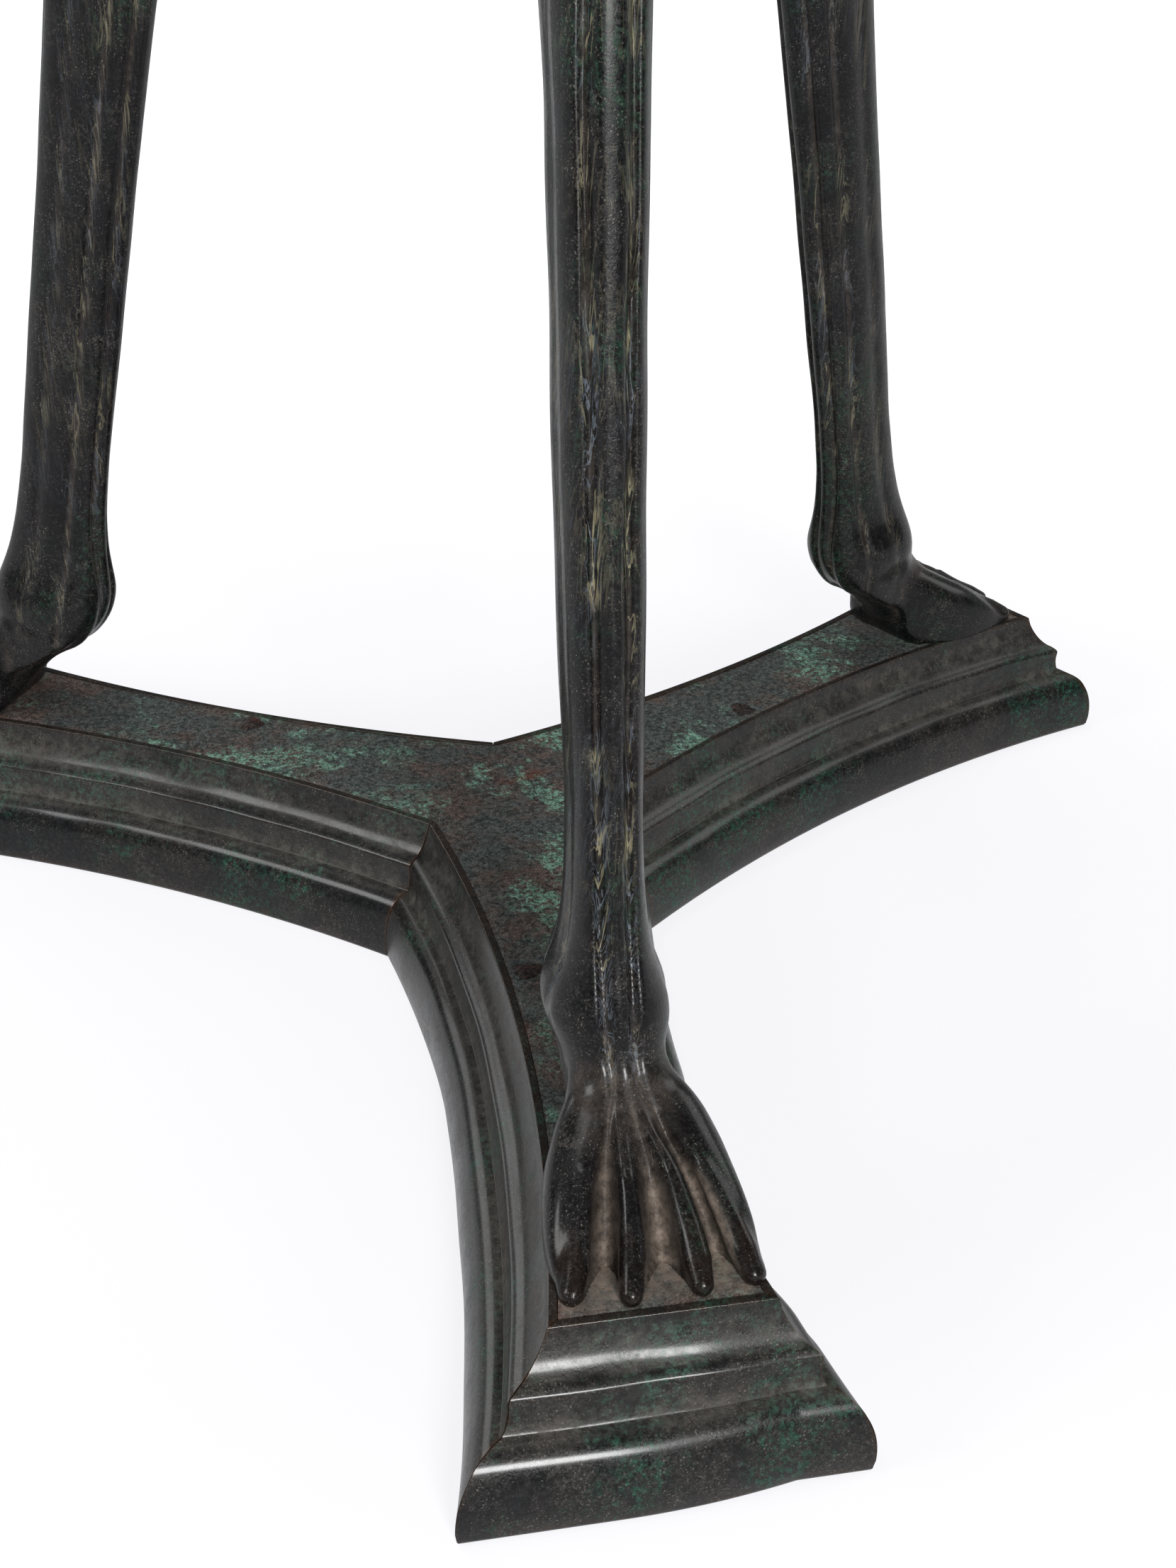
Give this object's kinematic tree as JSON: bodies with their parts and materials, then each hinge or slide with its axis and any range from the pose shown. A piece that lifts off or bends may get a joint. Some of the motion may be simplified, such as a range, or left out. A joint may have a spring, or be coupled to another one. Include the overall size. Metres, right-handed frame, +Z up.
{
  "type": "tripod stand",
  "caption": "Bronze stand with lion-footed legs on a low concave-sided moulded base, a hoop at the top and a shallow bowl that lifts out.",
  "frame": {"origin": "where the three-fold axis meets the floor, under the middle of the base", "axes": "+Z up along the three-fold axis; one arm of the base, with its leg, points along -Y; +X to the right of that arm seen from in front"},
  "size_m": [0.5608, 0.5046, 0.8552],
  "materials": {
    "moulding_bronze": "dark brown-black patina with grey-green dust in the recesses",
    "sheet_bronze": "dark patina with blue-green mottling and rust stains",
    "leg_bronze": "dark patina, worn brown on claws and ridges, pale streaks in the grooves",
    "bowl_bronze": "dark patina, smoother inside",
    "iron": "rusted iron"
  },
  "bodies": {
    "stand": {"base_plate": "sheet_bronze", "capital_front": "leg_bronze", "capital_left": "leg_bronze", "capital_right": "leg_bronze", "end_mouldings": "moulding_bronze", "foot_dowels": "iron", "foot_washers": "iron", "foot_wedges": "iron", "hock_band_front": "leg_bronze", "hock_band_left": "leg_bronze", "hock_band_right": "leg_bronze", "hoop_band": "moulding_bronze", "hoop_foot": "moulding_bronze", "hoop_head": "moulding_bronze", "paw_front": "leg_bronze", "paw_left": "leg_bronze", "paw_right": "leg_bronze", "plate_rivets": "iron", "shank_front": "leg_bronze", "shank_left": "leg_bronze", "shank_right": "leg_bronze", "side_mouldings_a": "moulding_bronze", "side_mouldings_b": "moulding_bronze", "thigh_front": "leg_bronze", "thigh_left": "leg_bronze", "thigh_right": "leg_bronze", "tie_bar_front": "leg_bronze", "tie_bar_left": "leg_bronze", "tie_bar_right": "leg_bronze", "tie_hub": "leg_bronze"},
    "bowl": {"bowl": "bowl_bronze"}
  },
  "joints": [
    {"name": "bowl_lift", "type": "slide", "parent": "stand", "child": "bowl", "axis": [0, 0, 1], "range_m": [0, 0.15]}
  ]
}
